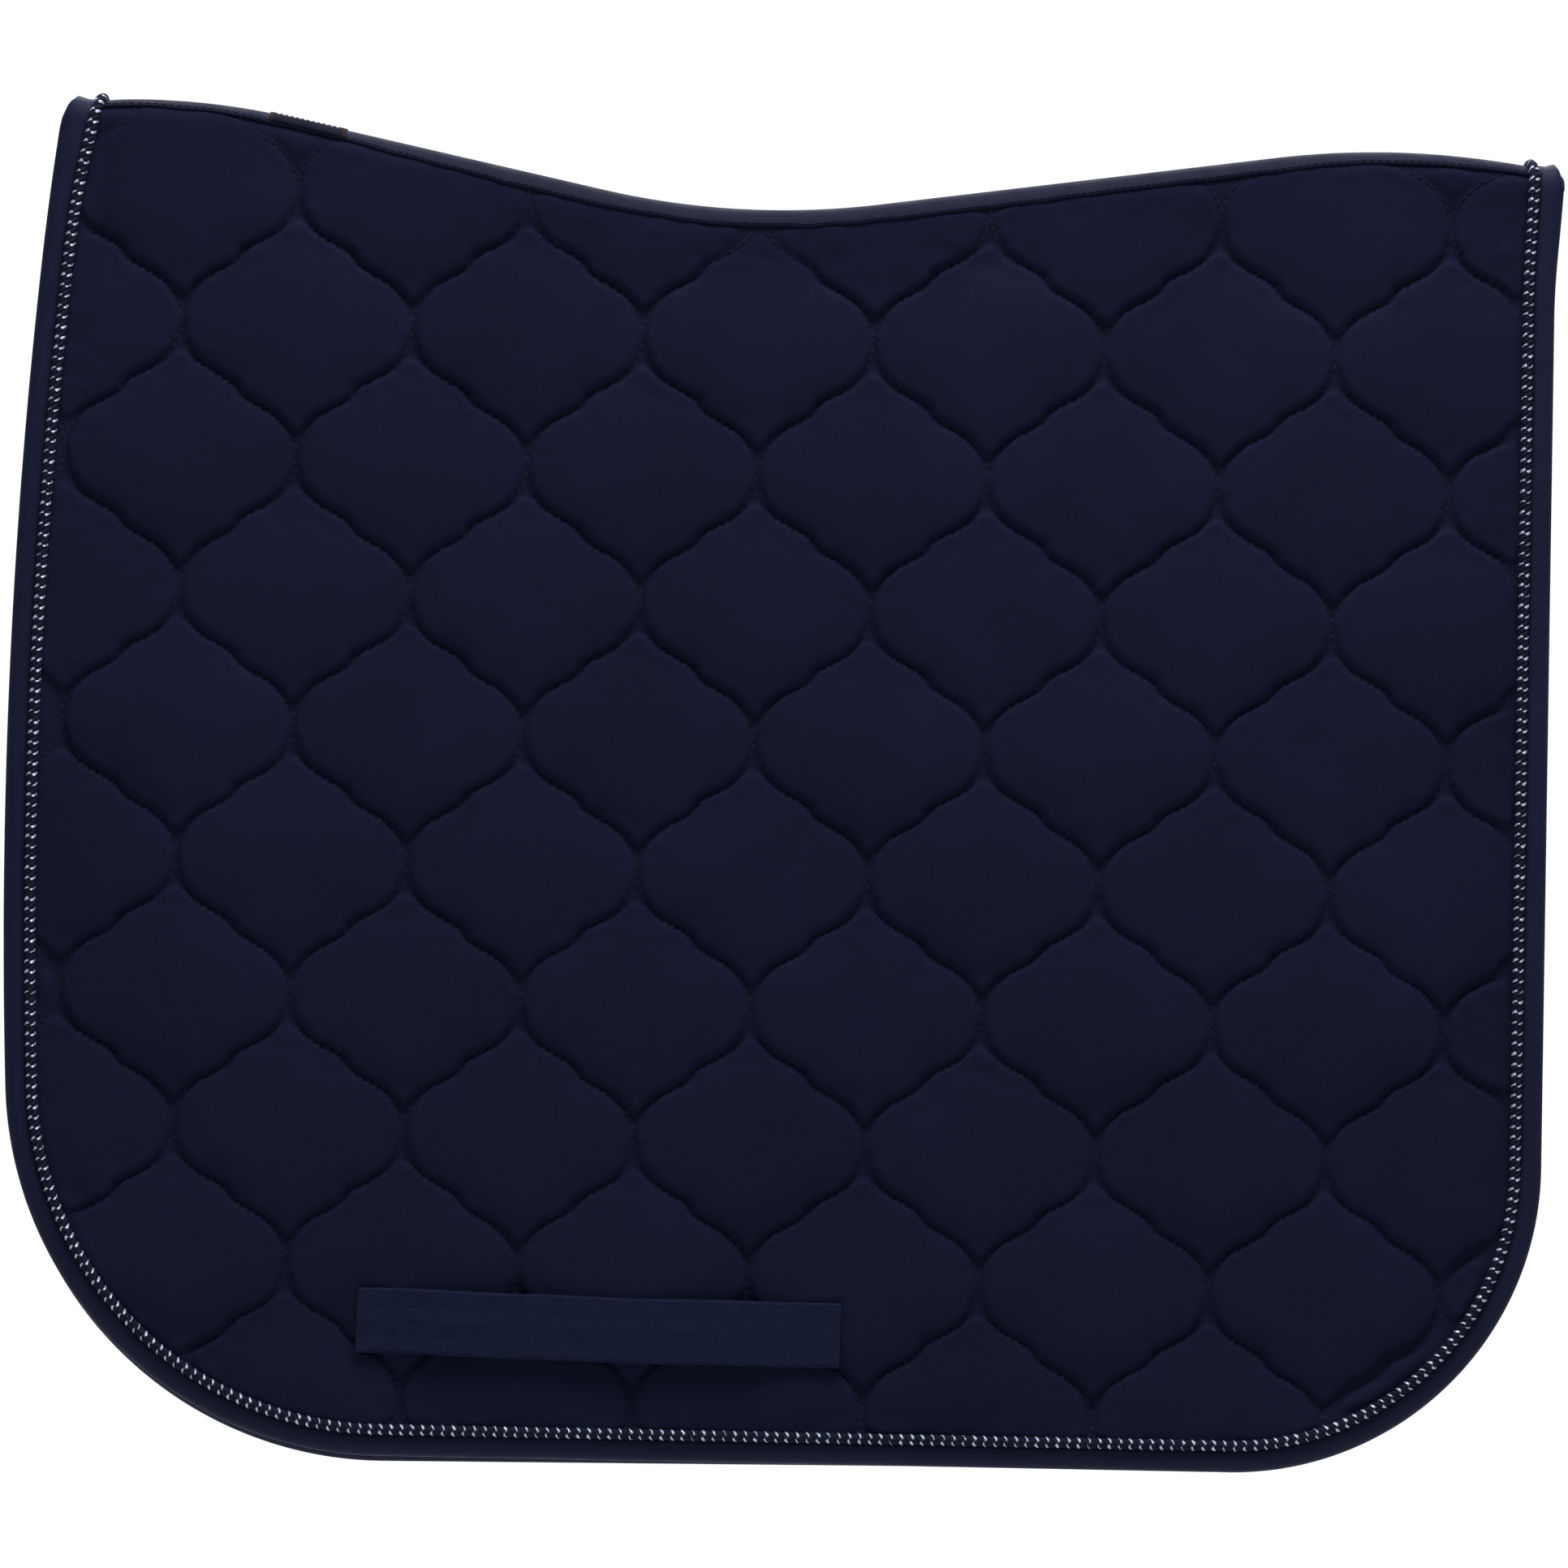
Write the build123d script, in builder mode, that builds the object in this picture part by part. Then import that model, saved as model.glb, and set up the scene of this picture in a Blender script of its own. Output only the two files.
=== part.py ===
"""A quilted dressage saddle pad, folded along its spine.

Frame: X runs from the withers (-X) to the loin (+X), Z is up and the two flaps
hang from the spine, the left one on the -Y side.  The origin lies under the spine,
where the horse's back or a rack carries the pad.  Millimetres.
"""

import os
from math import cos, radians, sin, tan

from build123d import *

os.makedirs("parts", exist_ok=True)

# ---------------------------------------------------------------- driving sizes
# Spine, as a chain of tangent arcs and straight runs, from front to rear.
spine_start = (-263.0, 42.4)      # top of the ridge at the front edge
front_rise = 7.4                  # degrees, upwards at the front edge
front_arc_r = 285.0
withers_fall = 11.0               # degrees, downwards behind the withers
withers_run = 123.5
dip_arc_r = 300.0
loin_rise = 8.7                   # degrees, upwards behind the seat
loin_run = 154.5
rear_arc_r = 330.0
rear_fall = 11.0                  # degrees, downwards at the rear edge

# Outline of a flap, below the spine.
front_edge_x = -274.6             # foremost point of the bowed front edge
front_edge_z = -200.5             # its height
front_edge_r = 2350.0
hem_front_z = -474.4              # height of the hem's line at hem_front_x
hem_front_x = -117.0
hem_rear_z = -469.5               # height of the hem's line at hem_rear_x
hem_rear_x = 201.0
front_corner_r = 146.0
rear_corner_r = 118.5
rear_top = (314.0, 39.5)          # two points of the straight rear edge
rear_low = (321.6, -350.5)
far_flap_drop = 3.0               # how much lower the right flap's hem hangs in front
outline_top = 70.0                # the outline is built up to here, then cut by the spine

# Layers, as distances from the middle of the fold.
fold_gap = 0.3
binding_t = 1.0
lining_t = 0.8
padding_t = 6.0
shell_t = 0.8
binding_width = 8.6
binding_wrap = 1.2                # thickness of the binding round the panel's edge
binding_row = 6.4                 # from the flap's edge to the binding's stitch row
lining_in = fold_gap + binding_t
padding_in = lining_in + lining_t
shell_in = padding_in + padding_t
shell_out = shell_in + shell_t
binding_out = shell_out + binding_t + 0.2

# Ridge over the spine.
tape_t = 1.2
ridge_r = 10.1                    # outer radius of the tape over the fold
allowance_r = ridge_r - tape_t
flap_clearance = 0.4              # between the ridge and the flaps' upper edges
tape_leg = 12.0                   # how far the inner tape reaches down inside the fold
allowance_inset = binding_wrap + 0.2
tape_inset = 13.5                 # from the panel's edge to the tape's end
tape_row_angle = 62.0             # degrees from the top to the tape's stitch rows
clearance = 0.3                   # between the inner tape and the linings

# Twisted cord, as a many-sided rod.
cord_r = 2.1
cord_sides = 16
cord_inset = 10.8                 # from the flap's edge to the cord's centre
cord_y = shell_out + cord_r + 0.05

# Quilting: wavy stitch lines, each the mirror of the next.
line_pitch = 44.4
wave_length = 103.0
wave_arc_r = 21.0                 # round ends of the cells
wave_slope = 27.0                 # degrees from level, the cells' straight flanks
step_slope = 60.0                 # degrees from level, the notch in each flank
step_height = 4.4
step_r = 0.8
wave_lean = 2.4                   # sideways drift of a line over one wave
touch_point = (-121.6, -142.8)    # where one pair of lines touches
thread_w = 0.6
thread_t = 0.25
inner_thread_t = 0.1
quilt_margin = 13.5               # the quilting stops under the cord

# Girth strap: 25 mm webbing, sewn down at both ends and bowed out between them.
strap_front_x = -132.0
strap_length = 186.0
strap_width = 25.0
strap_t = 1.5
strap_z = -422.0                  # height of its centre line
strap_bow = 6.0                   # how far the open stretch stands off the shell
strap_in = shell_out + 0.3        # inner face of the sewn ends
strap_sewn = 11.6                 # length of each sewn end
strap_ramp = 11.0                 # length over which the strap rises
strap_bend_r = 8.0
stitch_box = (7.2, 20.6)          # thread rectangle on each sewn end

# Label patch folded over the spine tape, behind the withers.
label_front_x = -181.5
label_length = 30.0
label_t = 0.6
label_lift = 0.05                 # the patch lies on the tape's stitch rows
label_reach = 68.0                # degrees down each side of the ridge
label_row_angle = 45.0            # degrees from the top to the label's stitch rows
label_row_inset = 3.0

sides = (("left", -1, 0.0), ("right", 1, far_flap_drop))


# ---------------------------------------------------------------- shared geometry
def spine_path(depth=0.0, trim_front=0.0, trim_rear=0.0):
    """The spine's line in the active BuildLine, depth below the ridge's top."""
    rise = radians(front_rise)
    centre_x = spine_start[0] + front_arc_r * sin(rise)
    centre_z = spine_start[1] - front_arc_r * cos(rise)
    r_front = front_arc_r - depth
    r_dip = dip_arc_r + depth
    r_rear = rear_arc_r - depth
    start_angle = front_rise - trim_front / radians(front_arc_r)
    a = radians(start_angle)
    start = (centre_x - r_front * sin(a), centre_z + r_front * cos(a))
    l1 = JernArc(start, (cos(a), sin(a)), r_front, -(start_angle + withers_fall))
    l2 = PolarLine(l1 @ 1, withers_run, -withers_fall)
    l3 = JernArc(l2 @ 1, l2 % 1, r_dip, withers_fall + loin_rise)
    l4 = PolarLine(l3 @ 1, loin_run, loin_rise)
    end_turn = loin_rise + rear_fall - trim_rear / radians(rear_arc_r)
    return JernArc(l4 @ 1, l4 % 1, r_rear, -end_turn)


def spine_curve(depth, trim_front=0.0, trim_rear=0.0):
    """The spine's line as one wire in the mid plane."""
    with BuildLine(Plane.XZ) as line:
        spine_path(depth, trim_front, trim_rear)
    return line.wires()[0]


def across(wire):
    """Plane square to a spine line at its front end: x along +Y, y away from the fold."""
    return Plane(origin=wire @ 0, x_dir=(0, 1, 0), z_dir=wire % 0)


def front_x(z):
    """X of the bowed front edge at a height."""
    return front_edge_x + (z - front_edge_z) ** 2 / (2 * front_edge_r)


def flap_region(inset, drop):
    """A flap's outline, open above the spine, as a face in the XZ plane."""
    hem_slope = (hem_rear_z - hem_front_z + drop) / (hem_rear_x - hem_front_x)
    rear_slope = (rear_low[0] - rear_top[0]) / (rear_low[1] - rear_top[1])

    def rear_x(z):
        return rear_top[0] + rear_slope * (z - rear_top[1])

    def hem_z(x):
        return hem_front_z - drop + hem_slope * (x - hem_front_x)

    hem_left = (front_x(hem_front_z), hem_z(front_x(hem_front_z)))
    hem_right = (rear_x(hem_rear_z), hem_z(rear_x(hem_rear_z)))
    with BuildSketch(Plane.XZ) as region:
        with BuildLine():
            Polyline(
                hem_left, hem_right, (rear_x(outline_top), outline_top),
                (front_x(outline_top), outline_top),
            )
            ThreePointArc(
                (front_x(outline_top), outline_top),
                (front_edge_x, front_edge_z), hem_left,
            )
        make_face()
        fillet(region.vertices().sort_by(Axis.Y)[0], radius=front_corner_r)
        fillet(region.vertices().sort_by(Axis.X)[-1], radius=rear_corner_r)
        if inset:
            offset(amount=-inset, kind=Kind.INTERSECTION, mode=Mode.REPLACE)
    return region.sketch


def below_spine(depth):
    """Everything below the spine's line at a depth, as a face in the XZ plane."""
    with BuildSketch(Plane.XZ) as region:
        with BuildLine():
            end = spine_path(depth)
            a = radians(front_rise)
            start_x = spine_start[0] + depth * sin(a)
            start_z = spine_start[1] - depth * cos(a)
            l1 = Line((start_x, start_z), (-310, start_z - tan(a) * (start_x + 310)))
            l2 = PolarLine(end @ 1, 45, -rear_fall)
            Polyline(l1 @ 1, (-310, -560), ((l2 @ 1).X, -560), l2 @ 1)
        make_face()
    return region.sketch


def level(sign, distance):
    """Plane parallel to the fold, at a distance from it on one side."""
    return Plane.XZ.offset(-sign * distance)


def wave_line(number):
    """One quilting line in the active BuildLine: round ends, notched flanks."""
    reach = line_pitch / 2
    step_x = step_height / 2 / tan(radians(step_slope))
    flank_z = step_height / 2 + (reach - step_x) * tan(radians(wave_slope))
    middle = touch_point[0] + line_pitch * (number + 0.5)
    points = []
    radii = []
    for half_wave in range(-8, 5):
        turn = -1 if (half_wave + number) % 2 == 0 else 1
        centre_z = touch_point[1] + (half_wave + 0.5) * wave_length / 2
        corners = (
            (turn * reach, -flank_z, wave_arc_r),
            (turn * step_x, -step_height / 2, step_r),
            (-turn * step_x, step_height / 2, step_r),
            (-turn * reach, flank_z, wave_arc_r),
        )
        for x, z, radius in corners:
            lean = (touch_point[1] - centre_z - z) * wave_lean / wave_length
            points.append((middle + x + lean, centre_z + z))
            radii.append(radius)
    return FilletPolyline(*points, radius=radii[1:-1])


def ridge_sector(inner_r, outer_r, reach):
    """Outline of a ring sector over the fold, reach degrees down each side."""
    outer = CenterArc((0, 0), outer_r, 90 - reach, 2 * reach)
    inner = CenterArc((0, 0), inner_r, 90 - reach, 2 * reach)
    Line(outer @ 0, inner @ 0)
    Line(outer @ 1, inner @ 1)


under_ridge = below_spine(ridge_r + flap_clearance)

# ---------------------------------------------------------------- flaps
for side, sign, drop in sides:
    panel = flap_region(binding_wrap, drop)
    whole = flap_region(0, drop)
    within_binding = flap_region(binding_width, drop)

    layers = (
        ("lining", lining_in, lining_t),
        ("padding", padding_in, padding_t),
        ("outer_shell", shell_in, shell_t),
    )
    for name, inner, thickness in layers:
        with BuildPart() as layer:
            with BuildSketch(level(sign, inner)):
                add(panel)
                add(under_ridge, mode=Mode.INTERSECT)
            extrude(amount=-sign * thickness)
        layer.part.label = f"{side}_{name}"
        export_step(layer.part, f"parts/{side}_{name}.step")

    # The binding: an inner leg, the wrap round the panel's edge and an outer leg.
    with BuildPart() as binding:
        binding_runs = (
            (within_binding, fold_gap, lining_in),
            (panel, lining_in, shell_out),
            (within_binding, shell_out, binding_out),
        )
        for hole, inner, outer in binding_runs:
            with BuildSketch(level(sign, inner)):
                add(whole)
                add(hole, mode=Mode.SUBTRACT)
                add(under_ridge, mode=Mode.INTERSECT)
            extrude(amount=-sign * (outer - inner))
    binding.part.label = f"{side}_edge_binding"
    export_step(binding.part, f"parts/{side}_edge_binding.step")

    # The cord follows the flap's edge, in from it, and stops under the ridge.
    cord_region = flap_region(cord_inset, drop)
    cord_edges = cord_region.edges().sort_by(Axis.Z)[:-1]
    cord_path = Wire(cord_edges).moved(Location((0, sign * cord_y, 0)))
    with BuildPart() as cord:
        with BuildSketch(Plane(origin=cord_path @ 0, z_dir=cord_path % 0)):
            RegularPolygon(cord_r, cord_sides)
        sweep(path=cord_path)
        with BuildSketch(level(sign, cord_y - 2 * cord_r)):
            add(under_ridge)
        extrude(amount=-sign * 4 * cord_r, mode=Mode.INTERSECT)
    cord.part.label = f"{side}_edge_cord"
    export_step(cord.part, f"parts/{side}_edge_cord.step")

    # Binding stitching: one row on the inner leg, facing the horse.
    with BuildPart() as thread:
        with BuildSketch(level(sign, fold_gap - inner_thread_t)):
            add(flap_region(binding_row, drop))
            add(flap_region(binding_row + thread_w, drop), mode=Mode.SUBTRACT)
            add(under_ridge, mode=Mode.INTERSECT)
        extrude(amount=-sign * inner_thread_t)
    thread.part.label = f"{side}_binding_stitching"
    export_step(thread.part, f"parts/{side}_binding_stitching.step")

    # Quilting thread: wavy lines over the shell, clear of the cord and the ridge.
    quilted = flap_region(quilt_margin, drop)
    with BuildPart() as quilting:
        with BuildSketch(level(sign, shell_out)):
            for number in range(-4, 10):
                with BuildLine():
                    wave_line(number)
                trace(line_width=thread_w)
            add(quilted, mode=Mode.INTERSECT)
            add(under_ridge, mode=Mode.INTERSECT)
        extrude(amount=-sign * thread_t)
    quilting.part.label = f"{side}_quilting_stitching"
    export_step(quilting.part, f"parts/{side}_quilting_stitching.step")

    # Girth strap: a flat strip seen from above, sewn at both ends and bowed between.
    strap_rear_x = strap_front_x + strap_length
    ramp_front = (strap_front_x + strap_sewn, strap_front_x + strap_sewn + strap_ramp)
    ramp_rear = (strap_rear_x - strap_sewn - strap_ramp, strap_rear_x - strap_sewn)
    with BuildPart() as strap:
        with BuildSketch(Plane.XY.offset(strap_z - strap_width / 2)):
            with BuildLine():
                faces = []
                for sewn_y in (strap_in, strap_in + strap_t):
                    bowed_y = sewn_y + strap_bow
                    faces.append(FilletPolyline(
                        (strap_front_x, sign * sewn_y),
                        (ramp_front[0], sign * sewn_y),
                        (ramp_front[1], sign * bowed_y),
                        (ramp_rear[0], sign * bowed_y),
                        (ramp_rear[1], sign * sewn_y),
                        (strap_rear_x, sign * sewn_y),
                        radius=strap_bend_r,
                    ))
                Line(faces[0] @ 0, faces[1] @ 0)
                Line(faces[0] @ 1, faces[1] @ 1)
            make_face()
        extrude(amount=strap_width)
    strap.part.label = f"{side}_girth_strap"
    export_step(strap.part, f"parts/{side}_girth_strap.step")

    # Its stitch boxes: a thread rectangle over each sewn end.
    with BuildPart() as boxes:
        with BuildSketch(level(sign, strap_in + strap_t)):
            ends = (strap_front_x + strap_sewn / 2, strap_rear_x - strap_sewn / 2)
            with Locations(*[(x, strap_z) for x in ends]):
                Rectangle(*stitch_box)
                Rectangle(stitch_box[0] - 2 * thread_w, stitch_box[1] - 2 * thread_w,
                          mode=Mode.SUBTRACT)
        extrude(amount=-sign * thread_t)
    boxes.part.label = f"{side}_girth_strap_stitching"
    export_step(boxes.part, f"parts/{side}_girth_strap_stitching.step")


# ---------------------------------------------------------------- spine
full_length = spine_curve(ridge_r)
tape_length = spine_curve(ridge_r, tape_inset, tape_inset)
allowance_length = spine_curve(ridge_r, allowance_inset, allowance_inset)

# The two panels' edges, sewn face to face: a rounded ridge inside the tape.
with BuildPart() as seam_allowance:
    with BuildSketch(across(allowance_length)):
        Circle(allowance_r)
        Rectangle(2 * allowance_r, allowance_r, align=(Align.CENTER, Align.MAX),
                  mode=Mode.SUBTRACT)
    sweep(path=allowance_length)
seam_allowance.part.label = "spine_seam_allowance"
export_step(seam_allowance.part, "parts/spine_seam_allowance.step")

with BuildPart() as tape_outer:
    with BuildSketch(across(tape_length)):
        with BuildLine():
            ridge_sector(allowance_r, ridge_r, 90)
        make_face()
    sweep(path=tape_length)
tape_outer.part.label = "spine_tape_outer"
export_step(tape_outer.part, "parts/spine_tape_outer.step")

# The inner tape is a narrow U inside the fold, its web under the seam.
tape_half = lining_in - clearance
with BuildPart() as tape_inner:
    with BuildSketch(across(tape_length)):
        Rectangle(2 * tape_half, tape_leg, align=(Align.CENTER, Align.MAX))
        with Locations((0, fold_gap - tape_half)):
            Rectangle(2 * fold_gap, tape_leg, align=(Align.CENTER, Align.MAX),
                      mode=Mode.SUBTRACT)
    sweep(path=tape_length)
tape_inner.part.label = "spine_tape_inner"
export_step(tape_inner.part, "parts/spine_tape_inner.step")

# Stitch rows low on both sides of the outer tape.
with BuildPart() as tape_stitching:
    for direction in (90 - tape_row_angle, 90 + tape_row_angle):
        with BuildSketch(across(tape_length)):
            with PolarLocations(ridge_r + thread_t / 2, 1, start_angle=direction):
                Rectangle(thread_t, thread_w)
        sweep(path=tape_length)
tape_stitching.part.label = "spine_tape_stitching"
export_step(tape_stitching.part, "parts/spine_tape_stitching.step")

# Label: a short patch over the tape, cut square to the spine, with a stitch row on
# each side.
label_in = ridge_r + thread_t + label_lift
label_out = label_in + label_t
label_plane = across(spine_curve(ridge_r, label_front_x - spine_start[0]))
with BuildPart() as label_patch:
    with BuildSketch(across(full_length)):
        with BuildLine():
            ridge_sector(label_in, label_out, label_reach)
        make_face()
    sweep(path=full_length)
    with BuildSketch(label_plane):
        Rectangle(4 * ridge_r, 4 * ridge_r)
    extrude(amount=label_length, mode=Mode.INTERSECT)
label_patch.part.label = "label_patch"
export_step(label_patch.part, "parts/label_patch.step")

with BuildPart() as label_stitching:
    for direction in (90 - label_row_angle, 90 + label_row_angle):
        with BuildSketch(across(full_length)):
            with PolarLocations(label_out + thread_t / 2, 1, start_angle=direction):
                Rectangle(thread_t, thread_w)
        sweep(path=full_length)
    with BuildSketch(label_plane.offset(label_row_inset)):
        Rectangle(4 * ridge_r, 4 * ridge_r)
    extrude(amount=label_length - 2 * label_row_inset, mode=Mode.INTERSECT)
label_stitching.part.label = "label_stitching"
export_step(label_stitching.part, "parts/label_stitching.step")

# Where the binding and the cord cross the fold, at the withers and at the loin.
for end, position, inward in (("withers", 0, 1), ("loin", 1, -1)):
    tangent = (full_length % position) * inward
    edge = Plane(origin=full_length @ position, x_dir=(0, inward, 0), z_dir=tangent)
    with BuildPart() as binding_fold:
        with BuildSketch(edge):
            with BuildLine():
                ridge_sector(allowance_r, ridge_r, 90)
            make_face()
        extrude(amount=binding_width)
        with BuildSketch(edge):
            Circle(allowance_r)
            Rectangle(2 * allowance_r, allowance_r, align=(Align.CENTER, Align.MAX),
                      mode=Mode.SUBTRACT)
        extrude(amount=binding_wrap)
    binding_fold.part.label = f"{end}_binding_fold"
    export_step(binding_fold.part, f"parts/{end}_binding_fold.step")

    with BuildLine(edge.offset(cord_inset)) as over_fold:
        CenterArc((0, 0), cord_y, 0, 180)
    with BuildPart() as cord_fold:
        with BuildSketch(Plane(origin=over_fold.line @ 0, z_dir=over_fold.line % 0)):
            RegularPolygon(cord_r, cord_sides)
        sweep(path=over_fold.line)
    cord_fold.part.label = f"{end}_cord_fold"
    export_step(cord_fold.part, f"parts/{end}_cord_fold.step")
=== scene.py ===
"""Visual model of a quilted saddle pad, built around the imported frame.

Shapes are worked out in millimetres and turned into metres when a mesh is made.
A flap is described in its own flat space: x along the spine, q up the cloth and n
the distance from the middle of the fold.  Above the ridge's axis the q direction
wraps over the ridge, so the two flaps meet at the top, under the tape.
"""

from math import atan2, cos, pi, radians, sin, sqrt, tan

import bpy
import numpy as np
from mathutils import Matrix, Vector
from mathutils.kdtree import KDTree


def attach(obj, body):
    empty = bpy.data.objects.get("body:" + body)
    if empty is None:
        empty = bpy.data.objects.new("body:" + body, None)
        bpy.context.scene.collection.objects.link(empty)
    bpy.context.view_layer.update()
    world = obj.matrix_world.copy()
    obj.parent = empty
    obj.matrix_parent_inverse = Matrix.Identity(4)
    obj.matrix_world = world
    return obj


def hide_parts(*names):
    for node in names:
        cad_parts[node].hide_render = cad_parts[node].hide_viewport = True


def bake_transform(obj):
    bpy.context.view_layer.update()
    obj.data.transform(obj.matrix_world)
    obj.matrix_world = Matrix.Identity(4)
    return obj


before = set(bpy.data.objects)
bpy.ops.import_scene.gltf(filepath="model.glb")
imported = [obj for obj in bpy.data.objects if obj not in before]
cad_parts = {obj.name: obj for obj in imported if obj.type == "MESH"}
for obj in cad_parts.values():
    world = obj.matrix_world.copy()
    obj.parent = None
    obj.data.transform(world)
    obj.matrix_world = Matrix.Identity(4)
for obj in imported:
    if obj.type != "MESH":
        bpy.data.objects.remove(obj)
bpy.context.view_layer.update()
scene = bpy.context.scene

SIDES = (("left", -1, 0.0), ("right", 1, 3.0))  # name, sign of y, drop of the hem
MM = 0.001

# ---- sizes, from the CAD
SPINE_START = (-263.0, 42.4)
SPINE_HEADINGS = (7.4, -11.0, -11.0, 8.7, 8.7, -11.0)
SPINE_RUNS = (285 * radians(18.4), 123.5, 300 * radians(19.7), 154.5, 330 * radians(19.7))
RIDGE_R = 10.1
TAPE_T = 1.2
TAPE_INSET = 13.5
WRAP_R = 9.0  # radius at which cloth length is kept over the ridge
FRONT_X, FRONT_Z, FRONT_R = -274.6, -200.5, 2350.0
HEM_FRONT = (-117.0, -474.4)
HEM_REAR = (201.0, -469.5)
REAR_TOP = (314.0, 39.5)
REAR_LOW = (321.6, -350.5)
CORNER_FRONT_R, CORNER_REAR_R = 146.0, 118.5
CORD_INSET, CORD_N = 10.8, 11.05

LINE_PITCH, WAVE_LENGTH = 44.4, 103.0
WAVE_ARC_R, WAVE_SLOPE = 21.0, 27.0
STEP_SLOPE = 60.0
WAVE_LEAN = 2.4
TOUCH = (-121.6, -142.8)

STRAP_X, STRAP_LENGTH, STRAP_WIDTH, STRAP_T, STRAP_Z = -132.0, 186.0, 25.0, 1.5, -422.0
LABEL_X, LABEL_LENGTH = -181.5, 30.0

# ---- sizes, seen only here
STEP_HEIGHT, STEP_R = 5.2, 0.5  # crisper than the CAD's steps, which padding softens
LINE_STEP = 0.5  # spacing of the points along a quilting line
SEAM_N = 5.2  # the shell's level along the quilting
CROWN_N = 10.1  # and in the middle of a cell
SHOULDER = 0.42  # share of that rise made right beside a seam
CROWN_U = 170.0  # u in mm^2 at which the rest of it is mostly done
SAG = 0.050  # how far the filling hangs: 0 swells a cell evenly
RIDGE_POWER = 2.5  # the ridge's section: 2 is round, more is squarer
YARN_TURN, YARN_RUN = 6.7, 5.9  # a strand's girth, and the run between two bright dashes
STRAND_OFF = 1.02  # a strand's middle, from the middle of the cord
CORD_PITCH, STRANDS, STRAND_SIDES = 6.0, 3, 10
WEB_STRIPE, WEB_RIB = 5.6, 0.95  # the webbing's herringbone
LINING_SEAM_N, LINING_CROWN_N = 3.2, 1.35
GRID = 1.4  # spacing of the shell's points
LINING_GRID = 2.8
SIM_GRID = 3.0  # spacing of the simulated cloth's points
SIM_FRAMES = 20
SIM_CAP = 2.0  # the most that the simulation may move the cloth
SIM_SHARE = 0.26  # how much of that movement is kept: the pad is firm
PANEL_INSET = 5.0  # the panel's edge, hidden in the binding
PANEL_X, PANEL_LOW, PANEL_HEIGHT = (-276.0, 323.0), -480.0, 530.0


# ---- small tools
def smooth(t):
    t = np.clip(t, 0.0, 1.0)
    return t * t * (3 - 2 * t)


def unit(v):
    """Vectors along the last axis, each made one long."""
    return v / np.maximum(np.linalg.norm(v, axis=-1, keepdims=True), 1e-9)


def run_along(points):
    """Length along a line of points, from 0 at its first one."""
    return np.concatenate([[0], np.cumsum(np.linalg.norm(np.diff(points, axis=0), axis=1))])


def resampled(at, s, points):
    """Rows of points at the lengths at, where their own lengths are s."""
    return np.stack([np.interp(at, s, column) for column in points.T], -1)


def stacked(*parts):
    """Coordinates on a new last axis, from arrays that broadcast together."""
    return np.stack(np.broadcast_arrays(*parts), -1)


def search_tree(x, q):
    """A tree that finds the nearest of some flat places."""
    tree = KDTree(len(x))
    for i, (a, b) in enumerate(zip(x, q)):
        tree.insert((a, b, 0), i)
    tree.balance()
    return tree


class Noise:
    """Smooth value noise in two dimensions, the same on every run."""

    def __init__(self, seed):
        self.table = np.random.RandomState(seed).rand(64, 64) * 2 - 1

    def __call__(self, x, y):
        ix, iy = np.floor(x).astype(int), np.floor(y).astype(int)
        fx, fy = smooth(x - ix), smooth(y - iy)
        t = self.table
        a = t[ix % 64, iy % 64] * (1 - fx) + t[(ix + 1) % 64, iy % 64] * fx
        b = t[ix % 64, (iy + 1) % 64] * (1 - fx) + t[(ix + 1) % 64, (iy + 1) % 64] * fx
        return a * (1 - fy) + b * fy


def make_mesh(name, points, faces, material, uv):
    """A mesh object from points and uv in mm, and its quads and triangles."""
    mesh = bpy.data.meshes.new(name)
    mesh.vertices.add(points.size // 3)
    mesh.vertices.foreach_set("co", points.ravel() * MM)
    faces = [f for f in faces if len(f)]
    corners = np.concatenate([f.ravel() for f in faces])
    counts = np.concatenate([np.full(len(f), f.shape[1]) for f in faces])
    mesh.loops.add(len(corners))
    mesh.loops.foreach_set("vertex_index", corners)
    mesh.polygons.add(len(counts))
    mesh.polygons.foreach_set("loop_start", np.concatenate([[0], np.cumsum(counts)[:-1]]))
    mesh.polygons.foreach_set("loop_total", counts)
    mesh.polygons.foreach_set("use_smooth", np.full(len(counts), True))
    layer = mesh.uv_layers.new(name="cloth")
    layer.data.foreach_set("uv", (uv.reshape(-1, 2) * MM)[corners].ravel())
    mesh.update(calc_edges=True)
    mesh.validate()
    mesh.materials.append(material.material)
    obj = bpy.data.objects.new(name, mesh)
    scene.collection.objects.link(obj)
    return obj


def strip_faces(rows, columns, flip=False):
    """Quads of a grid of points, whose rows are closed rings."""
    r, c = np.meshgrid(np.arange(rows - 1), np.arange(columns), indexing="ij")
    c2 = (c + 1) % columns
    quads = np.stack([r * columns + c, r * columns + c2,
                      (r + 1) * columns + c2, (r + 1) * columns + c], -1).reshape(-1, 4)
    return quads[:, ::-1] if flip else quads


def end_caps(rows, columns, flip=False):
    """Fans that close the first and the last of those rings."""
    c = np.arange(1, columns - 1)
    first = np.stack([np.zeros_like(c), c + 1, c], -1)
    last = np.stack([np.zeros_like(c), c, c + 1], -1) + (rows - 1) * columns
    caps = np.concatenate([first, last])
    return caps[:, ::-1] if flip else caps


def closed(rows, columns, flip=False):
    """All the faces of a closed tube or strip."""
    return strip_faces(rows, columns, flip), end_caps(rows, columns, flip)


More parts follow.
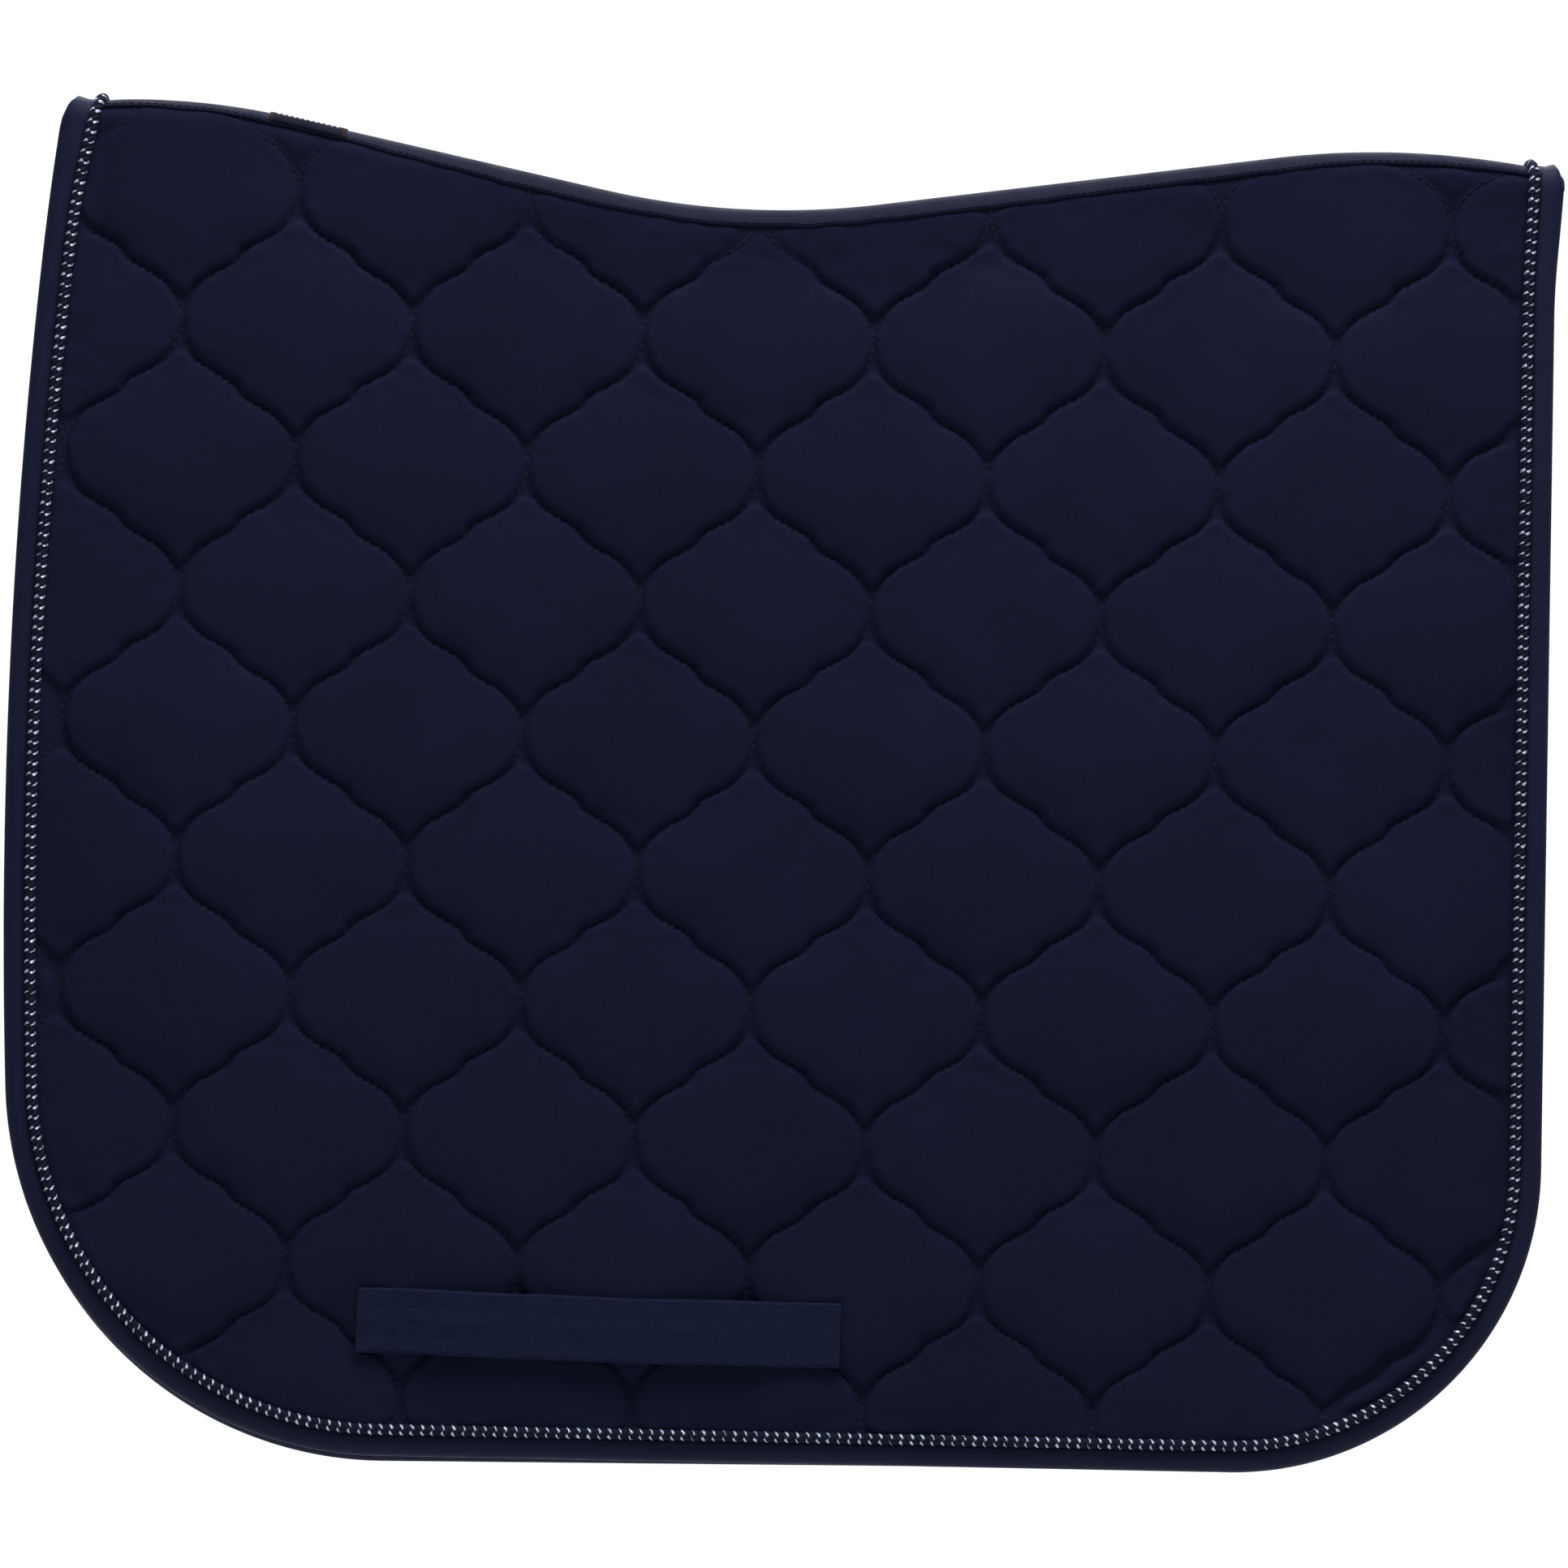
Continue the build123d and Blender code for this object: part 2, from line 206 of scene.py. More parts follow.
# ---- the spine's line
def spine_line():
    """Points of the ridge's top line, with a short straight run added at each end."""
    step, extra = 0.5, 40.0
    stations = np.concatenate([[0.0], np.cumsum(SPINE_RUNS)])
    length = stations[-1]
    s = np.arange(-extra, length + extra, step)
    heading = np.radians(np.interp(s + step / 2, stations, SPINE_HEADINGS))
    x = np.concatenate([[0], np.cumsum(np.cos(heading) * step)])
    z = np.concatenate([[0], np.cumsum(np.sin(heading) * step)])
    start = int(round(extra / step))
    x += SPINE_START[0] - x[start]
    z += SPINE_START[1] - z[start]
    s = np.append(s, s[-1] + step)
    heading = np.append(heading, heading[-1])
    return s, x, z, heading, length


SPINE_S, SPINE_X, SPINE_Z, SPINE_HEADING, SPINE_LENGTH = spine_line()


def axis_z(x):
    """Height of the ridge's axis."""
    slope = np.interp(x, SPINE_X, SPINE_HEADING)
    return np.interp(x, SPINE_X, SPINE_Z) - RIDGE_R / np.cos(slope)


def top_q(x):
    """Where the two flaps meet, in flat space."""
    return axis_z(x) + WRAP_R * pi / 2


def squared(c, s):
    """A direction's cosine and sine, stretched from the unit circle to a fuller arch."""
    reach = (np.abs(c) ** RIDGE_POWER + np.abs(s) ** RIDGE_POWER) ** (1 / RIDGE_POWER)
    return c / reach, s / reach


def lean(x, q):
    """Sideways pull of the cloth at the two ends of the spine, where the corners round."""
    climb = q - axis_z(x)
    phi = np.clip(climb / WRAP_R, 0, pi / 2)
    rise = np.clip((squared(np.cos(phi), np.sin(phi))[1] - 0.40) / 0.60, 0, 1)
    arc = 1 - np.sqrt(1 - 0.98 * rise**2)
    front = np.clip(1 - (x + 266.0) / 45.0, 0, 1.0) ** 2
    rear = np.clip(1 - (314.0 - x) / 45.0, 0, 1.0) ** 2
    near = smooth((climb + 45.0) / 59.0)
    shift_rear = 2.0 * arc - 3.2 * near
    e = x - (FRONT_X + (q - FRONT_Z) ** 2 / (2 * FRONT_R))
    cord_pull = smooth(e / 10.0) * 0.9 + 0.1
    corner = 1 - 0.7 * smooth(e / 12.0)
    pull = 4.5 * near + 2.6 * smooth((climb + 22.0) / 32.0) + 1.8 * smooth(climb / 12.0)
    shift_front = pull * cord_pull + 3.8 * arc * corner
    return front * shift_front - rear * shift_rear


def place(sign, x, q, n):
    """Flat space to the row frame, in mm."""
    z_axis = axis_z(x)
    phi = np.clip((q - z_axis) / WRAP_R, 0, pi / 2)
    c, s = squared(np.cos(phi), np.sin(phi))
    return stacked(x + lean(x, q), sign * n * c, np.minimum(q, z_axis) + n * s)


def ridge_point(x, angle, r):
    """A point over the ridge: angle from the top, positive to the right, in radians."""
    z_axis = axis_z(x)
    q = z_axis + WRAP_R * (pi / 2 - np.abs(angle))
    c, s = squared(np.cos(angle), np.sin(angle))
    return stacked(x + lean(x, q), r * s, z_axis + r * c)


def tape_reach(x):
    """How far down each side the tape reaches, in radians from the top."""
    keys = (-250, -200, -150, -90, 60, 200, 260, 300)
    values = (48, 53, 58, 72, 73, 68, 60, 56)
    return np.radians(np.interp(x, keys, values))


def tape_q(x):
    """The tape's lower edge in flat space."""
    return axis_z(x) + WRAP_R * (pi / 2 - tape_reach(x))


# ---- a flap's outline
class Outline:
    """The flap's edge: a front arc, a hem and a rear line, joined by two corner arcs."""

    def __init__(self, drop):
        self.hem_slope = (HEM_REAR[1] - HEM_FRONT[1] + drop) / (HEM_REAR[0] - HEM_FRONT[0])
        self.hem_z0 = HEM_FRONT[1] - drop - self.hem_slope * HEM_FRONT[0]
        self.rear_slope = (REAR_LOW[0] - REAR_TOP[0]) / (REAR_LOW[1] - REAR_TOP[1])
        self.rear_x0 = REAR_TOP[0] - self.rear_slope * REAR_TOP[1]
        self.hem_cos = 1 / sqrt(1 + self.hem_slope**2)
        self.rear_cos = 1 / sqrt(1 + self.rear_slope**2)
        self.centre = np.array([FRONT_X + FRONT_R, FRONT_Z])
        x = -120.0
        for _ in range(20):
            z = self.hem_z0 + self.hem_slope * x + CORNER_FRONT_R / self.hem_cos
            reach = FRONT_R - CORNER_FRONT_R
            x = self.centre[0] - sqrt(reach**2 - (z - self.centre[1]) ** 2)
        self.corner_front = np.array([x, z])
        x = 200.0
        for _ in range(20):
            z = self.hem_z0 + self.hem_slope * x + CORNER_REAR_R / self.hem_cos
            x = self.rear_x0 + self.rear_slope * z - CORNER_REAR_R / self.rear_cos
        self.corner_rear = np.array([x, z])
        to_front = self.corner_front - self.centre
        self.angle_front = atan2(to_front[1], to_front[0])      # of the front tangent point
        self.angle_hem = atan2(-1.0, self.hem_slope)
        self.angle_rear = atan2(-self.rear_slope, 1.0)

    def inside(self, x, q):
        """Distance from the outline, positive inside."""
        front = FRONT_R - np.hypot(x - self.centre[0], q - self.centre[1])
        hem = (q - self.hem_z0 - self.hem_slope * x) * self.hem_cos
        rear = (self.rear_x0 + self.rear_slope * q - x) * self.rear_cos
        d = np.minimum(np.minimum(front, hem), rear)
        for corner, r, a, b in (
            (self.corner_front, CORNER_FRONT_R, self.angle_front, self.angle_hem),
            (self.corner_rear, CORNER_REAR_R, self.angle_hem, self.angle_rear),
        ):
            vx, vq = x - corner[0], q - corner[1]
            within = (cos(a) * vq - sin(a) * vx > 0) & (vx * sin(b) - vq * cos(b) > 0)
            d = np.where(within, r - np.hypot(vx, vq), d)
        return d

    def rim(self, inset, spacing):
        """Points along the flap's edge at an inset, from the front of the ridge round
        the hem to its rear: x, q, inward normal x and q, length along the line."""
        r = FRONT_R - inset
        q = 50.0                        # near the ridge's top; a few rounds settle it
        for _ in range(8):
            q = float(top_q(self.centre[0] - sqrt(r**2 - (q - self.centre[1]) ** 2)))
        start = pi - np.arcsin((q - self.centre[1]) / r)
        front, hem = self.angle_front % (2 * pi), self.angle_hem % (2 * pi)
        points = []
        for centre, radius, first, last, count in (
            (self.centre, r, start, front, 1200),
            (self.corner_front, CORNER_FRONT_R - inset, front, hem, 600),
            (self.corner_rear, CORNER_REAR_R - inset, self.angle_hem, self.angle_rear, 600),
        ):
            t = np.linspace(first, last, count)
            way = np.stack([np.cos(t), np.sin(t)], -1)
            points.append(np.hstack([centre + radius * way, -way]))
        foot = points[-1][-1]
        q = 50.0
        for _ in range(8):
            x = foot[0] + self.rear_slope * (q - foot[1])
            q = float(top_q(x))
        head = np.array([x, q, foot[2], foot[3]])
        points.append(foot + (head - foot) * np.linspace(0, 1, 600)[:, None])
        line = np.concatenate(points)
        steps = np.hypot(*np.diff(line[:, :2], axis=0).T)
        line = line[np.concatenate([[True], steps > 1e-6])]
        s = run_along(line[:, :2])
        even = np.linspace(0, s[-1], int(round(s[-1] / spacing)) + 1)
        return [*resampled(even, s, line).T, even]


OUTLINES = {side: Outline(drop) for side, _, drop in SIDES}


# ---- quilting lines
def rounded(corners, radii):
    """A polyline with rounded corners, as points about LINE_STEP apart."""
    out = [corners[0]]
    for before, corner, after, r in zip(corners, corners[1:], corners[2:], radii[1:-1]):
        a, b = before - corner, after - corner
        a, b = a / np.linalg.norm(a), b / np.linalg.norm(b)
        half = np.arccos(np.clip(a @ b, -1, 1)) / 2
        middle = corner + (a + b) / np.linalg.norm(a + b) * r / sin(half)
        first, last = corner + a * r / tan(half), corner + b * r / tan(half)
        u, v = first - middle, last - middle
        sweep = pi - 2 * half
        turn = 1 if u[0] * v[1] - u[1] * v[0] > 0 else -1
        for t in np.linspace(0, sweep, max(2, int(r * sweep / LINE_STEP) + 1)) * turn:
            out.append(middle + (u[0] * cos(t) - u[1] * sin(t), u[0] * sin(t) + u[1] * cos(t)))
    out.append(corners[-1])
    out = np.array(out)
    s = run_along(out)
    return resampled(np.linspace(0, s[-1], int(s[-1] / LINE_STEP) + 1), s, out)


def wave_line(number):
    """One quilting line: arcs to either side in turn, joined by slanting stair steps."""
    reach = LINE_PITCH / 2
    step_x = STEP_HEIGHT / 2 / tan(radians(STEP_SLOPE))
    flank_z = STEP_HEIGHT / 2 + (reach - step_x) * tan(radians(WAVE_SLOPE))
    middle = TOUCH[0] + LINE_PITCH * (number + 0.5)
    corners, radii = [], []
    for half_wave in range(-8, 5):
        turn = -1 if (half_wave + number) % 2 == 0 else 1
        centre = TOUCH[1] + (half_wave + 0.5) * WAVE_LENGTH / 2
        for x, z, r in ((turn * reach, -flank_z, WAVE_ARC_R),
                        (turn * step_x, -STEP_HEIGHT / 2, STEP_R),
                        (-turn * step_x, STEP_HEIGHT / 2, STEP_R),
                        (-turn * reach, flank_z, WAVE_ARC_R)):
            drift = (TOUCH[1] - centre - z) * WAVE_LEAN / WAVE_LENGTH
            corners.append(np.array([middle + x + drift, centre + z]))
            radii.append(r)
    return rounded(corners, radii)


WAVES = [wave_line(number) for number in range(-5, 11)]


class Quilting:
    """Distance to the nearest quilting line, and the nearest point on it."""

    def __init__(self):
        self.points = np.concatenate(WAVES)
        self.line = np.concatenate([np.full(len(w), i) for i, w in enumerate(WAVES)])
        self.tree = search_tree(*self.points.T)

    def nearest(self, x, q):
        found = np.array([self.tree.find((a, b, 0))[1] for a, b in zip(x, q)])
        p = np.stack([x, q], -1)
        best, spot = np.full(len(x), 1e9), self.points[found].copy()
        for shift in (-1, 1):
            other = np.clip(found + shift, 0, len(self.points) - 1)
            other = np.where(self.line[other] == self.line[found], other, found)
            a, b = self.points[found], self.points[other]
            ab = b - a
            t = np.clip(((p - a) * ab).sum(1) / np.maximum((ab**2).sum(1), 1e-9), 0, 1)
            c = a + ab * t[:, None]
            d = np.hypot(*(p - c).T)
            spot = np.where((d < best)[:, None], c, spot)
            best = np.minimum(best, d)
        return best, spot


QUILTING = Quilting()


def lines_left_of(x, q):
    """How many quilting lines lie to the left of each point."""
    return sum((x > np.interp(q, w[:, 1], w[:, 0])).astype(int) for w in WAVES)


# ---- materials
def node(tree, kind, **values):
    """A new node; a name is its property or, failing that, its input."""
    n = tree.nodes.new(kind)
    for key, value in values.items():
        if hasattr(n, key):
            setattr(n, key, value)
        else:
            n.inputs[key.replace("_", " ")].default_value = value
    return n


class Material:
    """Short names for the nodes that the cloth materials share."""

    def __init__(self, name, roughness, specular, sheen=0.02, sheen_roughness=0.4,
                 sheen_tint=(1, 1, 1, 1)):
        self.material = bpy.data.materials.new(name)
        self.material.use_nodes = True
        self.tree = self.material.node_tree
        self.shader = self.tree.nodes["Principled BSDF"]
        for key, value in (("Roughness", roughness), ("Specular IOR Level", specular),
                           ("Sheen Weight", sheen), ("Sheen Roughness", sheen_roughness),
                           ("Sheen Tint", sheen_tint)):
            self.shader.inputs[key].default_value = value
        self.uv = self.new("ShaderNodeUVMap", uv_map="cloth").outputs["UV"]

    def new(self, kind, **values):
        return node(self.tree, kind, **values)

    def feed(self, target, source):
        """Joins a socket to an input, or sets the input to a plain value."""
        if hasattr(source, "is_output"):
            self.tree.links.new(source, target)
        else:
            target.default_value = source

    def math(self, operation, a, b=0.0, c=0.0):
        n = self.new("ShaderNodeMath", operation=operation)
        for target, source in zip(n.inputs, (a, b, c)):
            self.feed(target, source)
        return n.outputs[0]

    def split(self, vector):
        n = self.new("ShaderNodeSeparateXYZ")
        self.feed(n.inputs[0], vector)
        return n.outputs[0], n.outputs[1], n.outputs[2]

    def scaled(self, across_mm, along_mm, rotation=0.0):
        """The cloth's own coordinates, in units of so many mm."""
        n = self.new("ShaderNodeMapping", Scale=(1000 / across_mm, 1000 / along_mm, 1.0))
        self.feed(n.inputs["Vector"], self.uv)
        n.inputs["Rotation"].default_value[2] = rotation
        return n.outputs[0]

    def noise(self, size_mm, detail):
        n = self.new("ShaderNodeTexNoise", Detail=detail, Scale=1.0)
        self.feed(n.inputs["Vector"], self.scaled(size_mm, size_mm))
        return n.outputs["Fac"]

    def threads(self, pitch_mm, angle):
        """Sine ridges a pitch apart: 0 in the gaps, 1 on the threads."""
        x, _, _ = self.split(self.scaled(pitch_mm, pitch_mm, angle))
        wave = self.math("SINE", self.math("MULTIPLY", x, 2 * pi))
        return self.math("MULTIPLY_ADD", wave, 0.5, 0.5)

    def mix(self, factor, a, b):
        n = self.new("ShaderNodeMix", data_type="RGBA")
        for target, source in zip((n.inputs["Factor"], *n.inputs[6:8]), (factor, a, b)):
            self.feed(target, source)
        return n.outputs[2]

    def remap(self, source, low, high, to_low, to_high):
        n = self.new("ShaderNodeMapRange")
        self.feed(n.inputs["Value"], source)
        for key, value in (("From Min", low), ("From Max", high),
                           ("To Min", to_low), ("To Max", to_high)):
            n.inputs[key].default_value = value
        return n.outputs["Result"]

    def waver(self, source, size):
        """A noise's usual range spread from -size to size."""
        return self.remap(source, 0.3, 0.7, -size, size)

    def paint(self, source, name="Base Color"):
        self.feed(self.shader.inputs[name], source)

    def bump(self, height, distance_mm, strength, under=None):
        n = self.new("ShaderNodeBump", Strength=strength, Distance=distance_mm * MM)
        self.feed(n.inputs["Height"], height)
        if under is not None:
            self.feed(n.inputs["Normal"], under)
        self.paint(n.outputs[0], "Normal")
        return n.outputs[0]


def tone(r, g, b, gain=1.0):
    return (r * gain, g * gain, b * gain, 1.0)


NAVY = (0.0065, 0.0079, 0.0218)


def cloth(name, base, weave, roughness, specular, sheen, variation=0.10, bump_mm=0.05,
          pile_mm=0.0):
    """Dyed cloth: two thread directions, uneven dye and a little wear."""
    m = Material(name, roughness, specular, sheen, 0.5, (0.30, 0.34, 0.55, 1))
    across, along = m.threads(*weave[0]), m.threads(*weave[1])
    threads = m.math("MULTIPLY", across, along)
    shade = m.math("ADD", m.waver(m.noise(70.0, 3.0), variation),
                   m.waver(m.noise(2.2, 2.0), variation / 2))
    shade = m.math("ADD", shade, m.remap(threads, 0.0, 1.0, -0.10, 0.10))
    level = m.remap(shade, -0.4, 0.4, 0.0, 1.0)
    m.paint(m.mix(level, tone(*base, 0.62), tone(*base, 1.38)))
    wear = m.remap(m.noise(9.0, 3.0), 0.3, 0.7, roughness - 0.06, roughness + 0.06)
    m.paint(wear, "Roughness")
    fine = m.bump(threads, bump_mm, 0.6)
    if pile_mm:
        m.bump(m.noise(5.0, 3.0), pile_mm, 0.5, under=fine)
    return m


SHELL = cloth("shell_fabric", NAVY, ((0.42, 0.6), (0.36, -0.97)), 0.80, 0.02, 0.02,
              pile_mm=0.10)
LINING = cloth("lining_cotton", (0.0085, 0.010, 0.026), ((0.5, 0.0), (0.5, pi / 2)),
               0.85, 0.03, 0.03, pile_mm=0.12)
BINDING = cloth("binding_satin", (0.0080, 0.0100, 0.0275), ((0.33, 0.35), (0.9, 1.2)),
                0.55, 0.05, 0.03, variation=0.06, bump_mm=0.03)
TAPE = cloth("spine_tape", (0.0066, 0.0080, 0.0210), ((0.33, 0.35), (0.9, 1.2)),
             0.62, 0.04, 0.02, variation=0.06, bump_mm=0.03)
LABEL = cloth("label_fabric", (0.0048, 0.0052, 0.0115), ((0.4, 0.0), (0.4, pi / 2)),
              0.8, 0.03, 0.02)


def thread_material(name, base, specular):
    """Sewing thread: the twist runs slantwise round each stitch."""
    m = Material(name, 0.6, specular)
    twist = m.threads(0.5, 0.7)
    m.paint(m.mix(twist, tone(*base, 0.75), tone(*base, 1.2)))
    m.bump(twist, 0.05, 0.6)
    return m


LABEL_START = np.interp(LABEL_X, SPINE_X, SPINE_S)


def turn_ends_brown(m):
    """The label's two folded ends show the brown back of its weave."""
    along, _, _ = m.split(m.scaled(1, 1))
    off = m.math("ABSOLUTE", m.math("SUBTRACT", along, LABEL_START + LABEL_LENGTH / 2))
    ends = m.remap(off, LABEL_LENGTH / 2 - 1.6, LABEL_LENGTH / 2 - 0.8, 0.0, 1.0)
    woven = m.shader.inputs["Base Color"].links[0].from_socket
    m.paint(m.mix(ends, woven, (0.022, 0.010, 0.011, 1)))


turn_ends_brown(LABEL)
THREAD = thread_material("thread", (0.0090, 0.0110, 0.0250), 0.05)
LABEL_THREAD = thread_material("label_thread", (0.40, 0.42, 0.45), 0.3)


def cord_material():
    """Navy strands, with a bright metallised yarn that comes to the surface in turns."""
    m = Material("twisted_cord", 0.6, 0.08)
    u, v, _ = m.split(m.scaled(YARN_TURN, YARN_RUN))
    wobble = m.waver(m.noise(2.0, 1.0), 0.05)
    along = m.math("SUBTRACT", m.math("FRACT", v), 0.5)
    across = m.math("SUBTRACT", m.math("SUBTRACT", u, 0.5), m.math("MULTIPLY", along, 0.16))
    across = m.math("ADD", m.math("ABSOLUTE", across), wobble)
    lengthways = m.remap(m.math("ABSOLUTE", along), 0.15, 0.20, 1.0, 0.0)
    yarn = m.math("MULTIPLY", m.remap(across, 0.050, 0.075, 1.0, 0.0), lengthways)
    fibres = m.threads(0.22, 0.9)
    dark = m.mix(fibres, tone(0.0026, 0.0036, 0.0105), tone(0.0070, 0.0098, 0.026))
    silver = m.mix(m.noise(1.4, 0.0), (0.25, 0.36, 0.50, 1), (0.66, 0.64, 0.78, 1))
    m.paint(m.mix(yarn, dark, silver))
    m.paint(m.remap(yarn, 0.0, 1.0, 0.7, 0.28), "Roughness")
    m.paint(m.remap(yarn, 0.0, 1.0, 0.0, 0.6), "Metallic")
    m.bump(m.math("ADD", fibres, yarn), 0.08, 0.7)
    return m


CORD = cord_material()


def webbing_material():
    """Herringbone webbing: slanting ribs that turn back at every stripe."""
    m = Material("webbing", 0.7, 0.05, sheen_roughness=0.5)
    x, y, _ = m.split(m.scaled(1, 1))
    slant = m.math("MULTIPLY", m.math("PINGPONG", y, WEB_STRIPE), 1.3)
    rib = m.math("MULTIPLY", m.math("ADD", x, slant), 2 * pi / WEB_RIB)
    ribs = m.math("MULTIPLY_ADD", m.math("SINE", rib), 0.5, 0.5)
    stripe = m.math("FRACT", m.math("DIVIDE", y, WEB_STRIPE))
    turn_line = m.math("ABSOLUTE", m.math("SUBTRACT", stripe, 0.5))
    turn_line = m.remap(turn_line, 0.44, 0.5, 0.0, 1.0)
    groove = m.math("MULTIPLY", turn_line, m.threads(1.1, 0.0))
    dye = m.math("MULTIPLY", m.noise(6.0, 2.0), 0.5)
    shade = m.math("ADD", m.math("MULTIPLY", ribs, 0.55), dye)
    # The grooves at the turn lines are painted darker too: painted shade in the grooves, on
    # top of the bump that sinks them.
    shade = m.math("SUBTRACT", shade, m.math("MULTIPLY", groove, 0.35))
    m.paint(m.mix(shade, tone(0.0008, 0.0017, 0.0090), tone(0.0088, 0.0138, 0.0440)))
    m.paint(m.remap(ribs, 0.0, 1.0, 0.8, 0.6), "Roughness")
    m.bump(m.math("SUBTRACT", ribs, groove), 0.18, 0.8)
    return m


WEBBING = webbing_material()


# ---- the quilted panels
def membrane(held, spacing):
    """Height of a film under unit pressure, zero where held, its bulge hanging low."""
    rounds, hurry = 160, 1.85  # red-black over-relaxation
    u = np.zeros(held.shape)
    rows, columns = np.indices(held.shape)
    inner = np.zeros(held.shape, bool)
    inner[1:-1, 1:-1] = True
    colours = [~held & inner & ((rows + columns) % 2 == k) for k in (0, 1)]
    for _ in range(rounds):
        for colour in colours:
            around = np.zeros(held.shape)
            around[1:-1, 1:-1] = ((1 - SAG) * u[:-2, 1:-1] + (1 + SAG) * u[2:, 1:-1]
                                  + u[1:-1, :-2] + u[1:-1, 2:])
            u = np.where(colour, u + hurry * ((around + spacing**2) / 4 - u), u)
    return np.maximum(u, 0.0)


def beside_a_line(region, distance):
    """Of any two neighbours in different regions, the one at the smaller distance."""
    marked = np.zeros(region.shape, bool)
    for a, b in ((np.s_[:-1], np.s_[1:]), (np.s_[:, :-1], np.s_[:, 1:])):
        crossed = region[a] != region[b]
        nearer = distance[a] <= distance[b]
        marked[a] |= crossed & nearer
        marked[b] |= crossed & ~nearer
    return marked


def panel_grid(outline, spacing):
    """A flap's flat grid, with points drawn onto the quilting and onto its own edge.

    Gives x, q, swelling u, distance from the quilting, what is held, quads, triangles.
    """
    columns = int((PANEL_X[1] - PANEL_X[0] - 1) / spacing)
    rows = int(PANEL_HEIGHT / spacing)
    column_x = np.linspace(*PANEL_X, columns)
    x = np.repeat(column_x[None, :], rows, 0)
    q = PANEL_LOW + np.linspace(0, 1, rows)[:, None] * (top_q(column_x) - PANEL_LOW)
    shape = x.shape
    distance, spot = QUILTING.nearest(x.ravel(), q.ravel())
    distance, spot = distance.reshape(shape), spot.reshape(shape + (2,))
    draw = beside_a_line(lines_left_of(x, q), distance)
    draw[-1] = False
    x, q = np.where(draw, spot[..., 0], x), np.where(draw, spot[..., 1], q)

    # Points near the panel's edge are drawn onto it, along the way to the inside.
    inside = outline.inside(x, q) - PANEL_INSET
    e = 0.5
    gx = (outline.inside(x + e, q) - outline.inside(x - e, q)) / (2 * e)
    gq = (outline.inside(x, q + e) - outline.inside(x, q - e)) / (2 * e)
    on_edge = beside_a_line(inside < 0, np.abs(inside))
    x = np.where(on_edge, x - gx * inside, x)
    q = np.where(on_edge & (np.arange(rows)[:, None] < rows - 1), q - gq * inside, q)
    q[-1] = top_q(x[-1])
    keep = (inside >= 0) | on_edge

    # Swelling u: how much a membrane held at the quilting and the edges stands up.
    held = draw | (inside + PANEL_INSET < 11.5) | (q > tape_q(x) + 1.0)
    u = membrane(held, spacing)

    # Quads are split along the quilting where it crosses them corner to corner.
    index = np.arange(x.size).reshape(shape)
    corners = np.stack([index[:-1, :-1], index[:-1, 1:], index[1:, 1:], index[1:, :-1]], -1)
    corners = corners.reshape(-1, 4)
    kept = keep.ravel()[corners]
    drawn = (draw & ~on_edge).ravel()[corners]
    whole = kept.all(1)
    pattern = drawn @ [1, 2, 4, 8]
    split_a, split_b = whole & (pattern == 5), whole & (pattern == 10)
    quads = corners[whole & ~split_a & ~split_b]
    picks = [(split_a, [0, 1, 2]), (split_a, [0, 2, 3]),
             (split_b, [0, 1, 3]), (split_b, [1, 2, 3])]
    three = kept.sum(1) == 3
    for missing in range(4):
        picks.append((three & ~kept[:, missing], [c for c in range(4) if c != missing]))
    triangles = np.concatenate([corners[chosen][:, rest] for chosen, rest in picks])
    used = np.unique(np.concatenate([quads.ravel(), triangles.ravel()]))
    number = np.full(x.size, -1)
    number[used] = np.arange(len(used))
    distance = np.where(draw, 0.0, distance)
    x, q, u, distance, held = (a.ravel()[used] for a in (x, q, u, distance, held))
    return x, q, u, distance, held, number[quads], number[triangles]


PUCKER = Noise(11)
SWELL = Noise(23)


def seam_level(outline, x, q):
    """The shell's n along its quilting: deep in the middle, pressed flat at the edges."""
    d = outline.inside(x, q)
    border = smooth((22.0 - d) / 12.0)
    tape = smooth((q - tape_q(x) + 24.0) / 22.0)
    level = SEAM_N + np.maximum((8.0 - SEAM_N) * border, (8.85 - SEAM_N) * tape)
    return level - 0.5 * smooth((9.0 - d) / 4.0)


def shell_level(outline, x, q, u, distance):
    """The shell's n: low at its seams, crowned between them, pressed down by the strap."""
    floor = seam_level(outline, x, q)
    share = SHOULDER * smooth(distance / 1.9) * smooth((u - 9.0) / 5.0)
    share += (1 - SHOULDER) * (1 - np.exp(-u / CROWN_U))
    pucker = 0.25 * PUCKER(x / 4.2, q / 4.2) * smooth(u / 20.0) * smooth((120.0 - u) / 60.0)
    swell = 0.25 * SWELL(x / 26.0, q / 26.0) * smooth(u / 80.0)
    level = floor + (CROWN_N - floor) * share + pucker + swell
    for end_x in (STRAP_X + 5.8, STRAP_X + STRAP_LENGTH - 5.8):
        beyond = np.maximum(np.abs(x - end_x) - 6.2, np.abs(q - STRAP_Z) - 12.5)
        level = np.minimum(level, 8.95 + 1.6 * smooth(beyond / 5.0))
    return level


